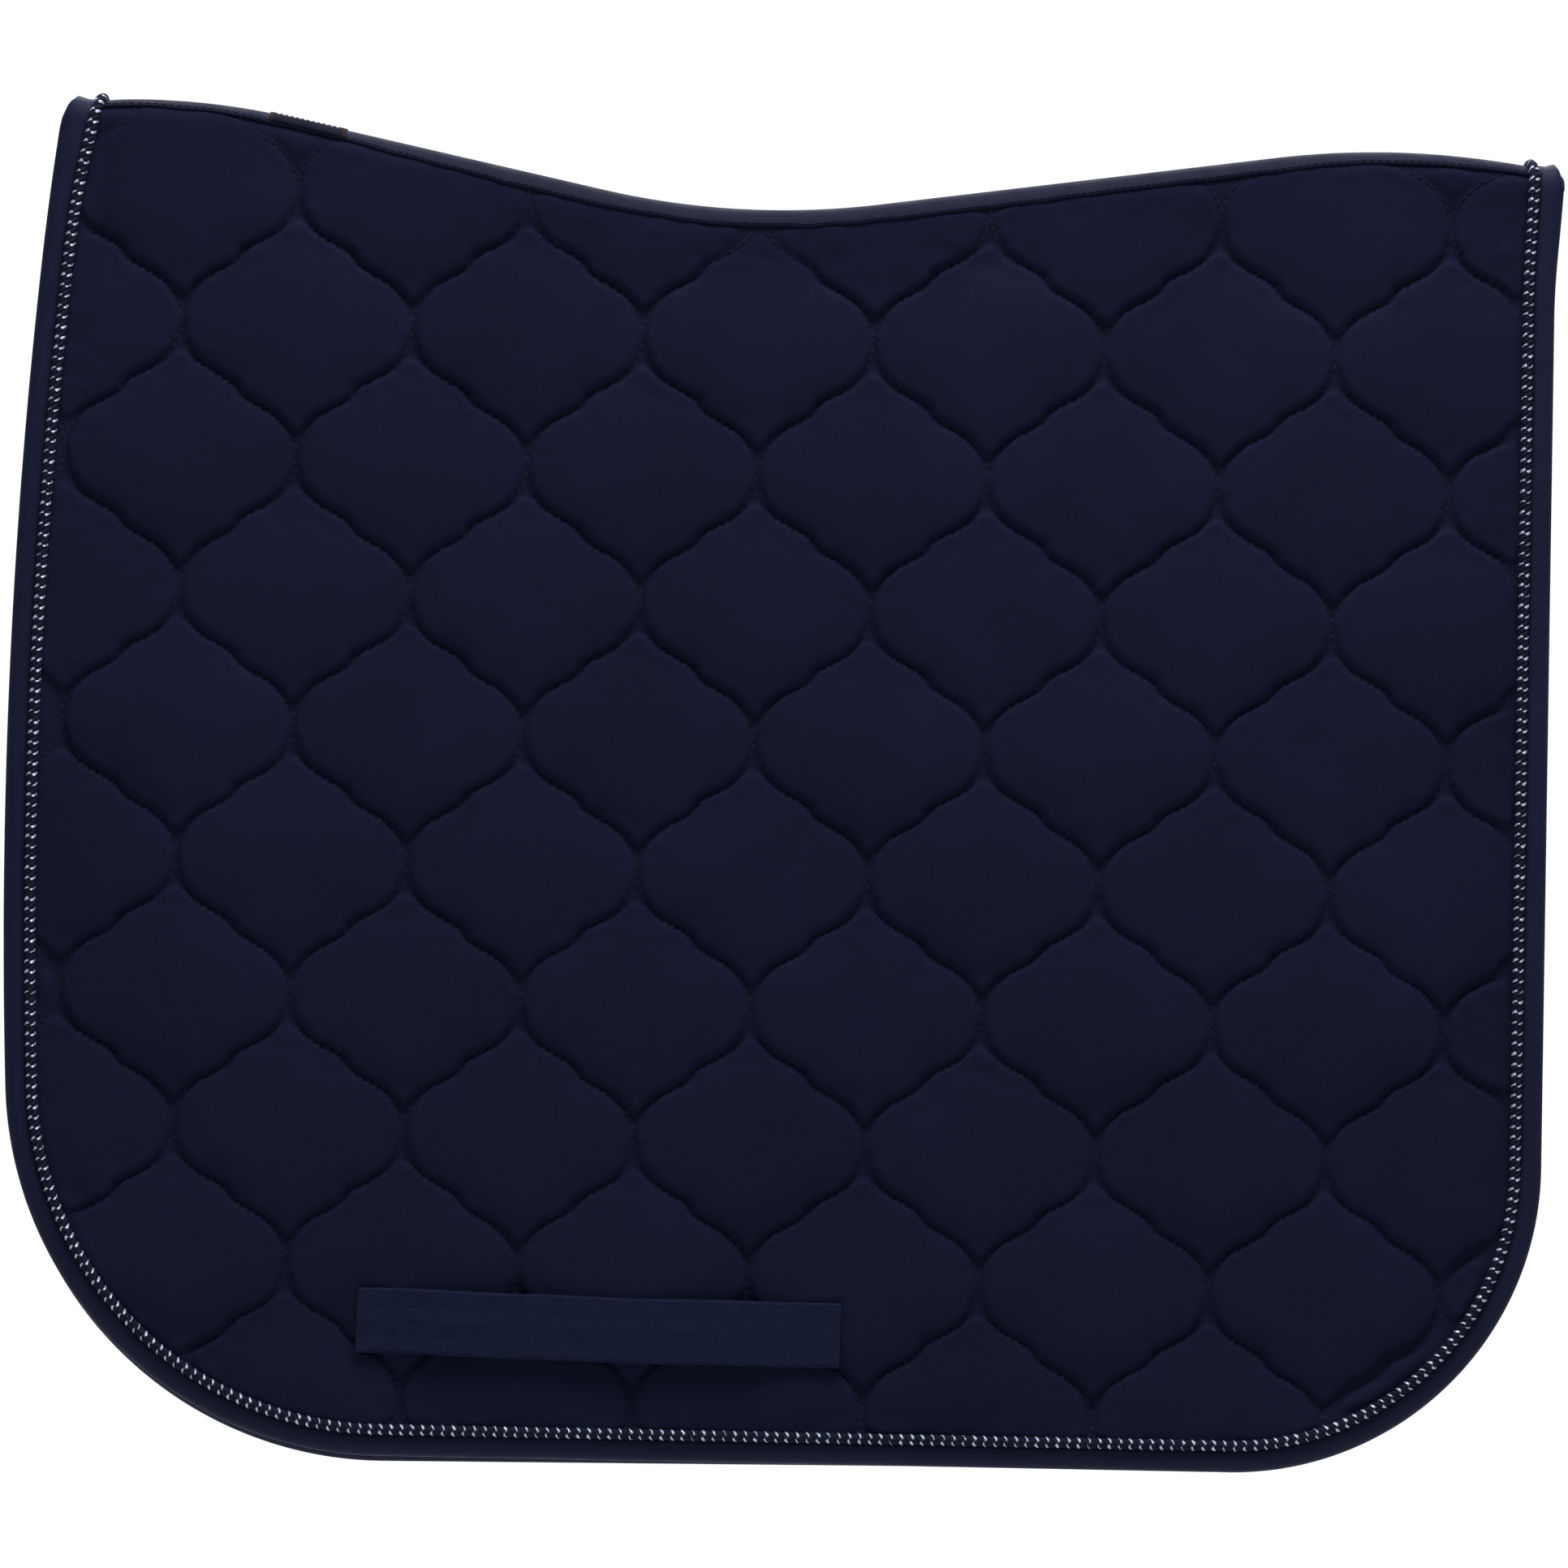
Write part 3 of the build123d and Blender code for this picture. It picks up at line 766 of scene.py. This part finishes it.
def puffed(outline):
    """The filling pushes the cloth out between its seams: a cloth simulation, run flat.

    Gives a function from flat places to the extra height in mm.
    """
    x, q, u, distance, held, quads, triangles = panel_grid(outline, SIM_GRID)
    n = shell_level(outline, x, q, u, distance)
    start = n - 0.6 * smooth(u / 60.0)         # slightly low, because the cloth swells
    flat = make_mesh("cloth_under_pressure", np.stack([x, q, start], -1), (quads, triangles),
                     SHELL, np.stack([x, q], -1))
    pinned = flat.vertex_groups.new(name="sewn")
    pinned.add([int(i) for i in np.flatnonzero(held)], 1.0, "REPLACE")
    cloth_modifier = flat.modifiers.new("Cloth", "CLOTH")
    settings = cloth_modifier.settings
    for key, value in (
        ("quality", 4), ("mass", 0.2), ("tension_stiffness", 12),
        ("compression_stiffness", 12), ("shear_stiffness", 4), ("bending_stiffness", 0.4),
        ("shrink_min", -0.02), ("vertex_group_mass", "sewn"), ("use_pressure", True),
        ("uniform_pressure_force", 4),
    ):
        setattr(settings, key, value)
    settings.effector_weights.gravity = 0
    cloth_modifier.point_cache.frame_start = 1
    cloth_modifier.point_cache.frame_end = SIM_FRAMES
    for frame_number in range(1, SIM_FRAMES + 1):
        scene.frame_set(frame_number)
    settled = flat.evaluated_get(bpy.context.evaluated_depsgraph_get()).data
    co = np.zeros(len(settled.vertices) * 3)
    settled.vertices.foreach_get("co", co)
    swell = np.clip(co.reshape(-1, 3)[:, 2] / MM - n, -SIM_CAP, SIM_CAP)
    bpy.data.objects.remove(flat)
    scene.frame_set(1)
    tree = search_tree(x, q)

    def height(px, pq):
        out = np.zeros(len(px))
        for i, (a, b) in enumerate(zip(px, pq)):
            near = tree.find_n((a, b, 0), 7)
            weights = [1 / (d * d + 2.0) for _, _, d in near]
            total = sum(w * swell[k] for w, (_, k, _) in zip(weights, near))
            out[i] = SIM_SHARE * total / sum(weights)
        return out
    return height


def blended(obj, side, sign, slot, *nodes):
    """A piece kept where it is built, its transform baked into the mesh; the CAD parts it
    stands for are hidden.
    """
    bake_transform(obj)
    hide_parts(*nodes)


def riding(obj, body, slot, *nodes):
    """A piece that moves with one body."""
    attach(obj, body)
    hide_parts(*nodes)


def lining_seam(outline, x, q):
    """The lining's n along its quilting."""
    flat = np.maximum(smooth((22.0 - outline.inside(x, q)) / 12.0),
                      smooth((q - axis_z(x) + 14.0) / 14.0))
    return LINING_SEAM_N - (LINING_SEAM_N - 1.6) * flat


def build_panels(side, sign, outline):
    x, q, u, distance, _, *faces = panel_grid(outline, GRID)
    n = shell_level(outline, x, q, u, distance)
    free = smooth(distance / 3.0) * smooth((tape_q(x) - 2.0 - q) / 12.0)
    n = n + PUFF(x, q) * free * smooth((outline.inside(x, q) - 12.0) / 6.0)
    shell = make_mesh(f"{side}_quilted_shell", place(sign, x, q, n),
                      [f[:, ::-sign] for f in faces], SHELL, np.stack([x, q], -1))
    x, q, u, _, _, *faces = panel_grid(outline, LINING_GRID)
    seam = lining_seam(outline, x, q)
    n = seam + (LINING_CROWN_N - seam) * (1 - np.exp(-u / 60.0))
    lining = make_mesh(f"{side}_lining_cloth", place(sign, x, q, n),
                       [f[:, ::sign] for f in faces], LINING, np.stack([x, q], -1))
    return shell, lining


def dashes(paths, length, gap, width, height, phase=0.0):
    """Stitches along lines, each given as (points, normals): small rounded bars.

    Gives their points, faces and uv.
    """
    across, rise = np.array([(-1.0, 0.0), (-0.55, 0.95), (0.55, 0.95), (1.0, 0.0)]).T
    along = np.array([0.0, 0.18, 0.82, 1.0])
    lift = np.array([-0.6, 0.9, 0.9, -0.6])[:, None]
    thin = np.array([0.55, 1.0, 1.0, 0.55])[:, None]
    w = (across * thin * width / 2)[..., None]
    h = ((rise * np.maximum(lift, 0) + np.minimum(lift, 0)) * height)[..., None]
    all_points, all_uv = [], []
    for points, normals in paths:
        s = run_along(points)
        at = np.arange(phase, s[-1] - length, length + gap)[:, None] + along * length
        p = resampled(at, s, points)
        up = unit(resampled(at, s, normals))
        side = unit(np.cross(p[:, -1:] - p[:, :1], up))
        all_points.append(p[:, :, None] + side[:, :, None] * w + up[:, :, None] * h)
        all_uv.append(stacked((at - at[:, :1])[:, :, None], across * width))
    points = np.concatenate(all_points)
    starts = np.arange(len(points))[:, None, None] * w.size
    faces = [(one + starts).reshape(-1, one.shape[1]) for one in closed(*w.shape[:2])]
    return points.reshape(-1, 3), faces, np.concatenate(all_uv).reshape(-1, 2)


def flat_paths(sign, lines, level):
    """Lines in flat space (x, q) as points and outward normals in the row frame."""
    out = []
    for x, q in lines:
        n = level(x, q) if callable(level) else level
        p = place(sign, x, q, n)
        out.append((p, unit(place(sign, x, q, n + 1.0) - p)))
    return out


def build_quilting_thread(side, sign, outline):
    lines = []
    for x, q in (w.T for w in WAVES):
        ok = (outline.inside(x, q) > 8.0) & (q < axis_z(x) + 8.0)
        for piece in np.split(np.arange(len(x)), np.flatnonzero(np.diff(ok.astype(int))) + 1):
            if len(piece) > 6 and ok[piece[0]]:
                lines.append((x[piece], q[piece]))
    outer = flat_paths(sign, lines, lambda x, q: seam_level(outline, x, q) + 0.05)
    inner = flat_paths(sign, lines, lambda x, q: lining_seam(outline, x, q) - 0.05)
    points, faces, uv = dashes(outer, 2.9, 0.5, 0.55, 0.38)
    inner = [(p, -up) for p, up in inner]
    more, more_faces, more_uv = dashes(inner, 2.9, 0.5, 0.5, 0.3, phase=1.7)
    faces = [np.concatenate([a, b + len(points)]) for a, b in zip(faces, more_faces)]
    return make_mesh(f"{side}_quilting_stitches", np.concatenate([points, more]), faces,
                     THREAD, np.concatenate([uv, more_uv]))


# Outline of the binding's section: distance in from the flap's edge, and n.
BINDING_PROFILE = np.array([
    (8.9, 8.5), (8.9, 9.2), (8.2, 9.75), (6.9, 10.05), (5.2, 10.15), (3.6, 9.85),
    (2.2, 9.15), (1.1, 8.1), (0.35, 6.8), (0.05, 5.4), (0.25, 4.0), (0.95, 2.6),
    (2.1, 1.5), (3.8, 0.75), (5.6, 0.4), (7.4, 0.35), (8.6, 0.5), (8.6, 1.2),
    (6.0, 1.25), (3.6, 1.9), (2.0, 3.2), (1.3, 5.4), (1.9, 7.4), (3.6, 8.7), (6.0, 8.95),
])


def build_binding(side, sign, outline):
    x0, q0, nx, nq, s = outline.rim(0.0, 2.0)
    ripple = Noise(5)
    d, n = BINDING_PROFILE[:, 0], BINDING_PROFILE[:, 1]
    pull = 0.16 * ripple(s / 7.0, s * 0) + 0.22 * ripple(s / 31.0, s * 0 + 9.5)
    outer = np.clip((n - 4.0) / 6.0, 0, 1)
    x = x0[:, None] + nx[:, None] * d
    q = q0[:, None] + nq[:, None] * d
    level = n[None, :] + pull[:, None] * outer[None, :]
    # At the two ends the whole section ends on the line where the flaps meet.
    for end in (0, -1):
        q[end] = top_q(x[end])
    over = smooth((q - axis_z(x)) / (WRAP_R * pi / 2)) * smooth((level - 5.0) / 4.0)
    level = level + over * (1.2 + 3.4 * smooth((5.5 - d) / 5.0))
    return make_mesh(f"{side}_satin_binding", place(sign, x, q, level),
                     [strip_faces(*x.shape, flip=sign < 0)], BINDING,
                     stacked(s[:, None], run_along(BINDING_PROFILE)))


def build_binding_thread(side, sign, outline):
    x, q = outline.rim(6.4, 2.0)[:2]
    keep = q < axis_z(x) + 6.0
    [(points, up)] = flat_paths(sign, [(x[keep], q[keep])], 0.42)
    points, faces, uv = dashes([(points, -up)], 2.6, 0.7, 0.5, 0.15)
    return make_mesh(f"{side}_binding_stitches", points, faces, THREAD, uv)


# ---- the cord
def cord_loop():
    """The cord's line right round both flaps.

    Each row is a point, its outward normal, whether it's over the ridge, and its side.
    """
    halves = []
    for side, sign, _ in SIDES:
        x, q = OUTLINES[side].rim(CORD_INSET, 0.5)[:2]
        [path] = flat_paths(sign, [(x, q)], CORD_N - 0.15)
        halves.append(np.column_stack([*path, q > axis_z(x), np.full(len(x), sign)]))
    return np.concatenate([halves[0], halves[1][::-1][1:]])


def build_cords():
    loop = cord_loop()
    s = run_along(loop[:, :3])
    total = s[-1]
    rings = int(total / 0.5)
    at = np.linspace(0, total, rings)
    loop = resampled(at, s, loop)
    line, normal, over, left = loop[:, :3], loop[:, 3:6], loop[:, 6] > 0.5, loop[:, 7] < 0
    tangent = unit(np.gradient(line, axis=0))
    normal = unit(normal - tangent * (normal * tangent).sum(1, keepdims=True))
    cross = np.cross(tangent, normal)
    pitch = total / round(total / CORD_PITCH)
    slope = 2 * pi * STRAND_OFF / pitch

    # The bright yarn stands a little proud where it shows, three times in two turns.
    yarn = at / pitch * 1.5 + 0.25
    angle = np.arange(STRAND_SIDES) / STRAND_SIDES * 2 * pi
    u = (angle / (2 * pi) + 0.5) % 1.0
    along = (yarn % 1.0 - 0.5)[:, None]
    across = np.abs(u - 0.5 - 0.16 * along)
    shown = smooth((0.24 - np.abs(along)) / 0.08) * smooth((0.14 - across) / 0.07)
    radius = (1.06 + 0.12 * shown)[..., None]
    uv = stacked(u * YARN_TURN, yarn[:, None] * YARN_RUN)
    angle = angle[:, None]
    strands = []
    for strand in range(STRANDS):
        turn = 2 * pi * (at / pitch + strand / STRANDS)
        c, d = np.cos(turn)[:, None], np.sin(turn)[:, None]
        out = normal * c + cross * d
        sideways = np.cross(unit(tangent + (cross * c - normal * d) * slope), out)
        around = out[:, None] * np.cos(angle) + sideways[:, None] * np.sin(angle)
        strands.append((line + out * STRAND_OFF)[:, None] + around * radius)

    groups = {"left_twisted_cord": left & ~over, "right_twisted_cord": ~left & ~over,
              "withers_cord_crossing": over & (line[:, 0] < 0),
              "loin_cord_crossing": over & (line[:, 0] > 0)}
    made = {}
    for name, member in groups.items():
        picked = np.flatnonzero(member)
        runs = np.split(picked, np.flatnonzero(np.diff(picked) > 1) + 1)
        if name.startswith("withers"):      # the loop starts and ends on this crossing
            runs = [np.concatenate([runs[-1][:-1], runs[0]])]
        points, uvs, faces, offset = [], [], [], 0
        for run in runs:
            rows = np.append(run, (run[-1] + 1) % rings)
            for strand in strands:
                points.append(strand[rows].reshape(-1, 3))
                uvs.append(uv[rows].reshape(-1, 2))
                faces.append([f + offset for f in closed(len(rows), STRAND_SIDES)])
                offset += len(points[-1])
        made[name] = make_mesh(name, np.concatenate(points),
                               [np.concatenate(kind) for kind in zip(*faces)],
                               CORD, np.concatenate(uvs))
    return made


# ---- girth strap
def strap_level(x):
    """n of the strap's inner face: sewn flat at the ends, bowed between them."""
    sewn, rise = 10.5, 26.0
    t = (np.clip((x - STRAP_X - sewn) / rise, 0, 1)
         * np.clip((STRAP_X + STRAP_LENGTH - sewn - x) / rise, 0, 1))
    return 9.25 + 3.6 * smooth(t)


def build_strap(side, sign):
    x = np.linspace(STRAP_X, STRAP_X + STRAP_LENGTH, 190)
    half, chamfer = STRAP_WIDTH / 2, 0.35
    middle = np.linspace(-half + 1.4, half - 1.4, 18)
    z = np.array([-half, -half + chamfer, *middle, half - chamfer, half])
    t = np.where(np.abs(z) == half, chamfer, 0.0)
    z, t = np.append(z, z[::-1]), np.append(t, STRAP_T - t[::-1])
    wander = 0.25 * np.sin(x / 23.0) + 0.15 * np.sin(x / 9.1 + 1.0)
    curl = 0.35 * smooth((strap_level(x) - 9.3) / 3.0)[:, None] * (z / half) ** 2
    n = strap_level(x)[:, None] + t - curl
    points = stacked(x[:, None], sign * n, STRAP_Z + z + wander[:, None])
    strap = make_mesh(f"{side}_webbing_strap", points, closed(*n.shape, flip=sign < 0),
                      WEBBING, stacked(x[:, None], z))
    lines = []
    for end, inward in ((STRAP_X, 1), (STRAP_X + STRAP_LENGTH, -1)):
        near, far = end + inward * 2.2, end + inward * 9.4
        low, high = STRAP_Z - 10.3, STRAP_Z + 10.3
        box = ((near, low), (near, high), (far, high), (far, low), (near, low))
        lines += [np.linspace(a, b, 24) for a, b in zip(box, box[1:])]
    # A loose thread end beside the last box.
    lines.append(np.linspace((far - 2.4, low + 0.2), (far + 0.4, low + 1.5), 8))
    paths = []
    for lx, lz in (line.T for line in lines):
        p = np.stack([lx, sign * (strap_level(lx) + STRAP_T - 0.02), lz], -1)
        paths.append((p, np.broadcast_to((0.0, sign, 0.0), p.shape)))
    points, faces, uv = dashes(paths, 2.1, 0.5, 0.6, 0.3, phase=0.15)
    stitches = make_mesh(f"{side}_strap_stitches", points, faces, THREAD, uv)
    return strap, stitches


# ---- over the spine
def along_spine(start, end, spacing):
    """X of stations along the spine between two lengths from its front end."""
    s = np.linspace(start, end, int((end - start) / spacing) + 1)
    return np.interp(s, SPINE_S, SPINE_X), s


def sector(name, x, s, reach, inner, outer, segments, material, edge_bump):
    """A strip bent over the ridge, as a closed solid with rounded lower edges."""
    share = np.linspace(-1, 1, segments)
    swell = smooth((np.abs(share) - 0.72) / 0.2) - 0.8 * smooth((np.abs(share) - 0.93) / 0.07)
    angle = reach[:, None] * share
    ring_out = ridge_point(x[:, None], angle, outer + edge_bump * swell)
    ring_in = ridge_point(x[:, None], angle[:, ::-1] * 0.985, inner)
    v = np.concatenate([share, share[::-1]]) * reach.mean() * outer
    return make_mesh(name, np.concatenate([ring_out, ring_in], 1),
                     closed(len(x), 2 * segments), material, stacked(s[:, None], v))


def stitch_rows(name, x, angle, r, sizes, material):
    """Two rows of stitches along the spine, at an angle to either side of its top."""
    paths = []
    for way in (-1, 1):
        p = ridge_point(x, way * angle, r)
        paths.append((p, ridge_point(x, way * angle, r + 1.0) - p))
    points, faces, uv = dashes(paths, *sizes)
    return make_mesh(name, points, faces, material, uv)


def build_spine():
    x, s = along_spine(TAPE_INSET - 3.0, SPINE_LENGTH - TAPE_INSET + 3.0, 2.5)
    reach = tape_reach(x) + 0.03 * Noise(3)(x / 9.0, x * 0)
    tape = sector("spine_tape_cloth", x, s, reach, RIDGE_R - TAPE_T + 0.1, RIDGE_R, 26, TAPE,
                  edge_bump=0.1)
    riding(tape, "spine", "binding_satin", "spine_tape_outer")
    rows = stitch_rows("spine_tape_stitches", x, reach - 0.11, RIDGE_R + 0.2,
                       (2.5, 0.6, 0.5, 0.25), THREAD)
    riding(rows, "spine", "thread", "spine_tape_stitching")

    # The two panels' raw edges, sewn together under the tape.
    x, s = along_spine(4.0, SPINE_LENGTH - 4.0, 4.0)
    allowance = sector("spine_seam_edges", x, s, np.full(len(x), 0.75), 8.35, 8.75, 12,
                       SHELL, edge_bump=0.0)
    riding(allowance, "spine", "shell_fabric", "spine_seam_allowance")

    # Inner tape: a narrow U inside the fold.
    x, s = along_spine(TAPE_INSET, SPINE_LENGTH - TAPE_INSET, 3.0)
    section = np.array([
        (-0.95, -12.0), (-1.0, -6.0), (-0.98, -1.4), (-0.6, -0.15), (0.0, 0.0), (0.6, -0.15),
        (0.98, -1.4), (1.0, -6.0), (0.95, -12.0),
        (0.45, -12.0), (0.4, -6.0), (0.32, -1.6), (0.0, -0.9), (-0.32, -1.6), (-0.4, -6.0),
        (-0.45, -12.0)])
    points = stacked(x[:, None], section[:, 0], axis_z(x)[:, None] + section[:, 1])
    inside = make_mesh("spine_inner_tape", points, closed(len(x), len(section)), BINDING,
                       stacked(s[:, None], run_along(section)))
    riding(inside, "spine", "binding_satin", "spine_tape_inner")

    # Label and its stitches.
    x, s = along_spine(LABEL_START, LABEL_START + LABEL_LENGTH, 1.0)
    label = sector("label_patch_cloth", x, s, tape_reach(x) - 0.03, RIDGE_R + 0.15,
                   RIDGE_R + 0.6, 22, LABEL, edge_bump=0.08)
    riding(label, "spine", "label_fabric", "label_patch")
    x, s = along_spine(LABEL_START + 2.5, LABEL_START + LABEL_LENGTH - 2.5, 0.5)
    rows = stitch_rows("label_stitches", x, radians(27), RIDGE_R + 0.62,
                       (1.35, 0.75, 0.7, 0.3), LABEL_THREAD)
    riding(rows, "spine", "label_thread", "label_stitching")


def build_binding_folds():
    """The stiffening under the binding where it crosses the ridge, at both ends."""
    for end, at, way in (("withers", 0.0, 1), ("loin", SPINE_LENGTH, -1)):
        s = at + way * np.linspace(3.6, 8.4, 7)
        x = np.interp(s, SPINE_S, SPINE_X)
        piece = sector(f"{end}_binding_core", x, s, np.full(len(x), 1.3), 8.4, 9.0, 20,
                       BINDING, edge_bump=0.0)
        riding(piece, "spine", "binding_satin", f"{end}_binding_fold")


# ---- build everything
PUFF = puffed(OUTLINES["left"])
for side, sign, _ in SIDES:
    outline = OUTLINES[side]
    shell, lining = build_panels(side, sign, outline)
    blended(shell, side, sign, "shell_fabric", f"{side}_outer_shell", f"{side}_padding")
    blended(lining, side, sign, "lining_cotton", f"{side}_lining")
    blended(build_quilting_thread(side, sign, outline), side, sign, "thread",
            f"{side}_quilting_stitching")
    blended(build_binding(side, sign, outline), side, sign, "binding_satin",
            f"{side}_edge_binding")
    blended(build_binding_thread(side, sign, outline), side, sign, "thread",
            f"{side}_binding_stitching")
    strap, stitches = build_strap(side, sign)
    riding(strap, f"{side}_flap", "webbing", f"{side}_girth_strap")
    riding(stitches, f"{side}_flap", "thread", f"{side}_girth_strap_stitching")

cords = build_cords()
for side, sign, _ in SIDES:
    blended(cords[f"{side}_twisted_cord"], side, sign, "twisted_cord", f"{side}_edge_cord")
for end in ("withers", "loin"):
    riding(cords[f"{end}_cord_crossing"], "spine", "twisted_cord", f"{end}_cord_fold")
build_spine()
build_binding_folds()

# ---- floor, light, camera
def build_floor():
    mesh = bpy.data.meshes.new("floor")
    r, z = 3.2, -0.95
    turn = np.linspace(0, 2 * pi, 96, endpoint=False)
    mesh.from_pydata([(r * cos(a), r * sin(a), z) for a in turn], [], [list(range(96))])
    material = bpy.data.materials.new("floor_pale")
    material.use_nodes = True
    shader = material.node_tree.nodes["Principled BSDF"]
    shader.inputs["Base Color"].default_value = (0.66, 0.66, 0.67, 1)
    shader.inputs["Roughness"].default_value = 0.95
    shader.inputs["Specular IOR Level"].default_value = 0.0
    mesh.materials.append(material)
    floor = bpy.data.objects.new("floor", mesh)
    scene.collection.objects.link(floor)


def build_world():
    """White behind the object, and a softer light from all sides."""
    world = bpy.data.worlds.new("studio")
    scene.world = world
    world.use_nodes = True
    tree = world.node_tree
    tree.nodes.clear()
    seen = node(tree, "ShaderNodeBackground", Color=(1, 1, 1, 1), Strength=1.05)
    fill = node(tree, "ShaderNodeBackground", Color=(0.97, 0.98, 1, 1), Strength=0.36)
    path = node(tree, "ShaderNodeLightPath")
    mix = node(tree, "ShaderNodeMixShader")
    out = node(tree, "ShaderNodeOutputWorld")
    for source, target in ((path.outputs["Is Camera Ray"], mix.inputs[0]),
                           (fill.outputs[0], mix.inputs[1]), (seen.outputs[0], mix.inputs[2]),
                           (mix.outputs[0], out.inputs[0])):
        tree.links.new(source, target)


def build_lights():
    """A large soft box above the near side, and a weaker even light from behind."""
    box = bpy.data.lights.new("key", "AREA")
    box.shape = "RECTANGLE"
    box.size, box.size_y = 1.2, 0.7
    box.energy = 53.5
    sky = bpy.data.lights.new("back", "SUN")
    sky.energy = 2.6
    sky.angle = radians(50)
    for light, location, target in ((box, (0.20, -0.64, 1.45), (0.02, 0.0, -0.22)),
                                    (sky, (0.15, 1.80, 2.40), (0.0, 0.0, 0.0))):
        lamp = bpy.data.objects.new(light.name, light)
        direction = Vector(target) - Vector(location)
        lamp.rotation_mode = "QUATERNION"
        lamp.rotation_quaternion = direction.to_track_quat("-Z", "Y")
        lamp.location = location
        scene.collection.objects.link(lamp)


def build_camera():
    data = bpy.data.cameras.new("camera")
    distance, width = 2.5, 0.6022          # to the near flap, and seen across it
    data.sensor_width = 36.0
    data.lens = 36.0 * distance / width
    data.clip_start, data.clip_end = 0.05, 100
    camera = bpy.data.objects.new("camera", data)
    camera.location = (0.025, -0.0111 - distance, -0.2105)
    camera.rotation_euler = (radians(90), radians(-2.0), 0)
    scene.collection.objects.link(camera)
    scene.camera = camera


build_floor()
build_world()
build_lights()
build_camera()
scene.view_settings.view_transform = "Standard"
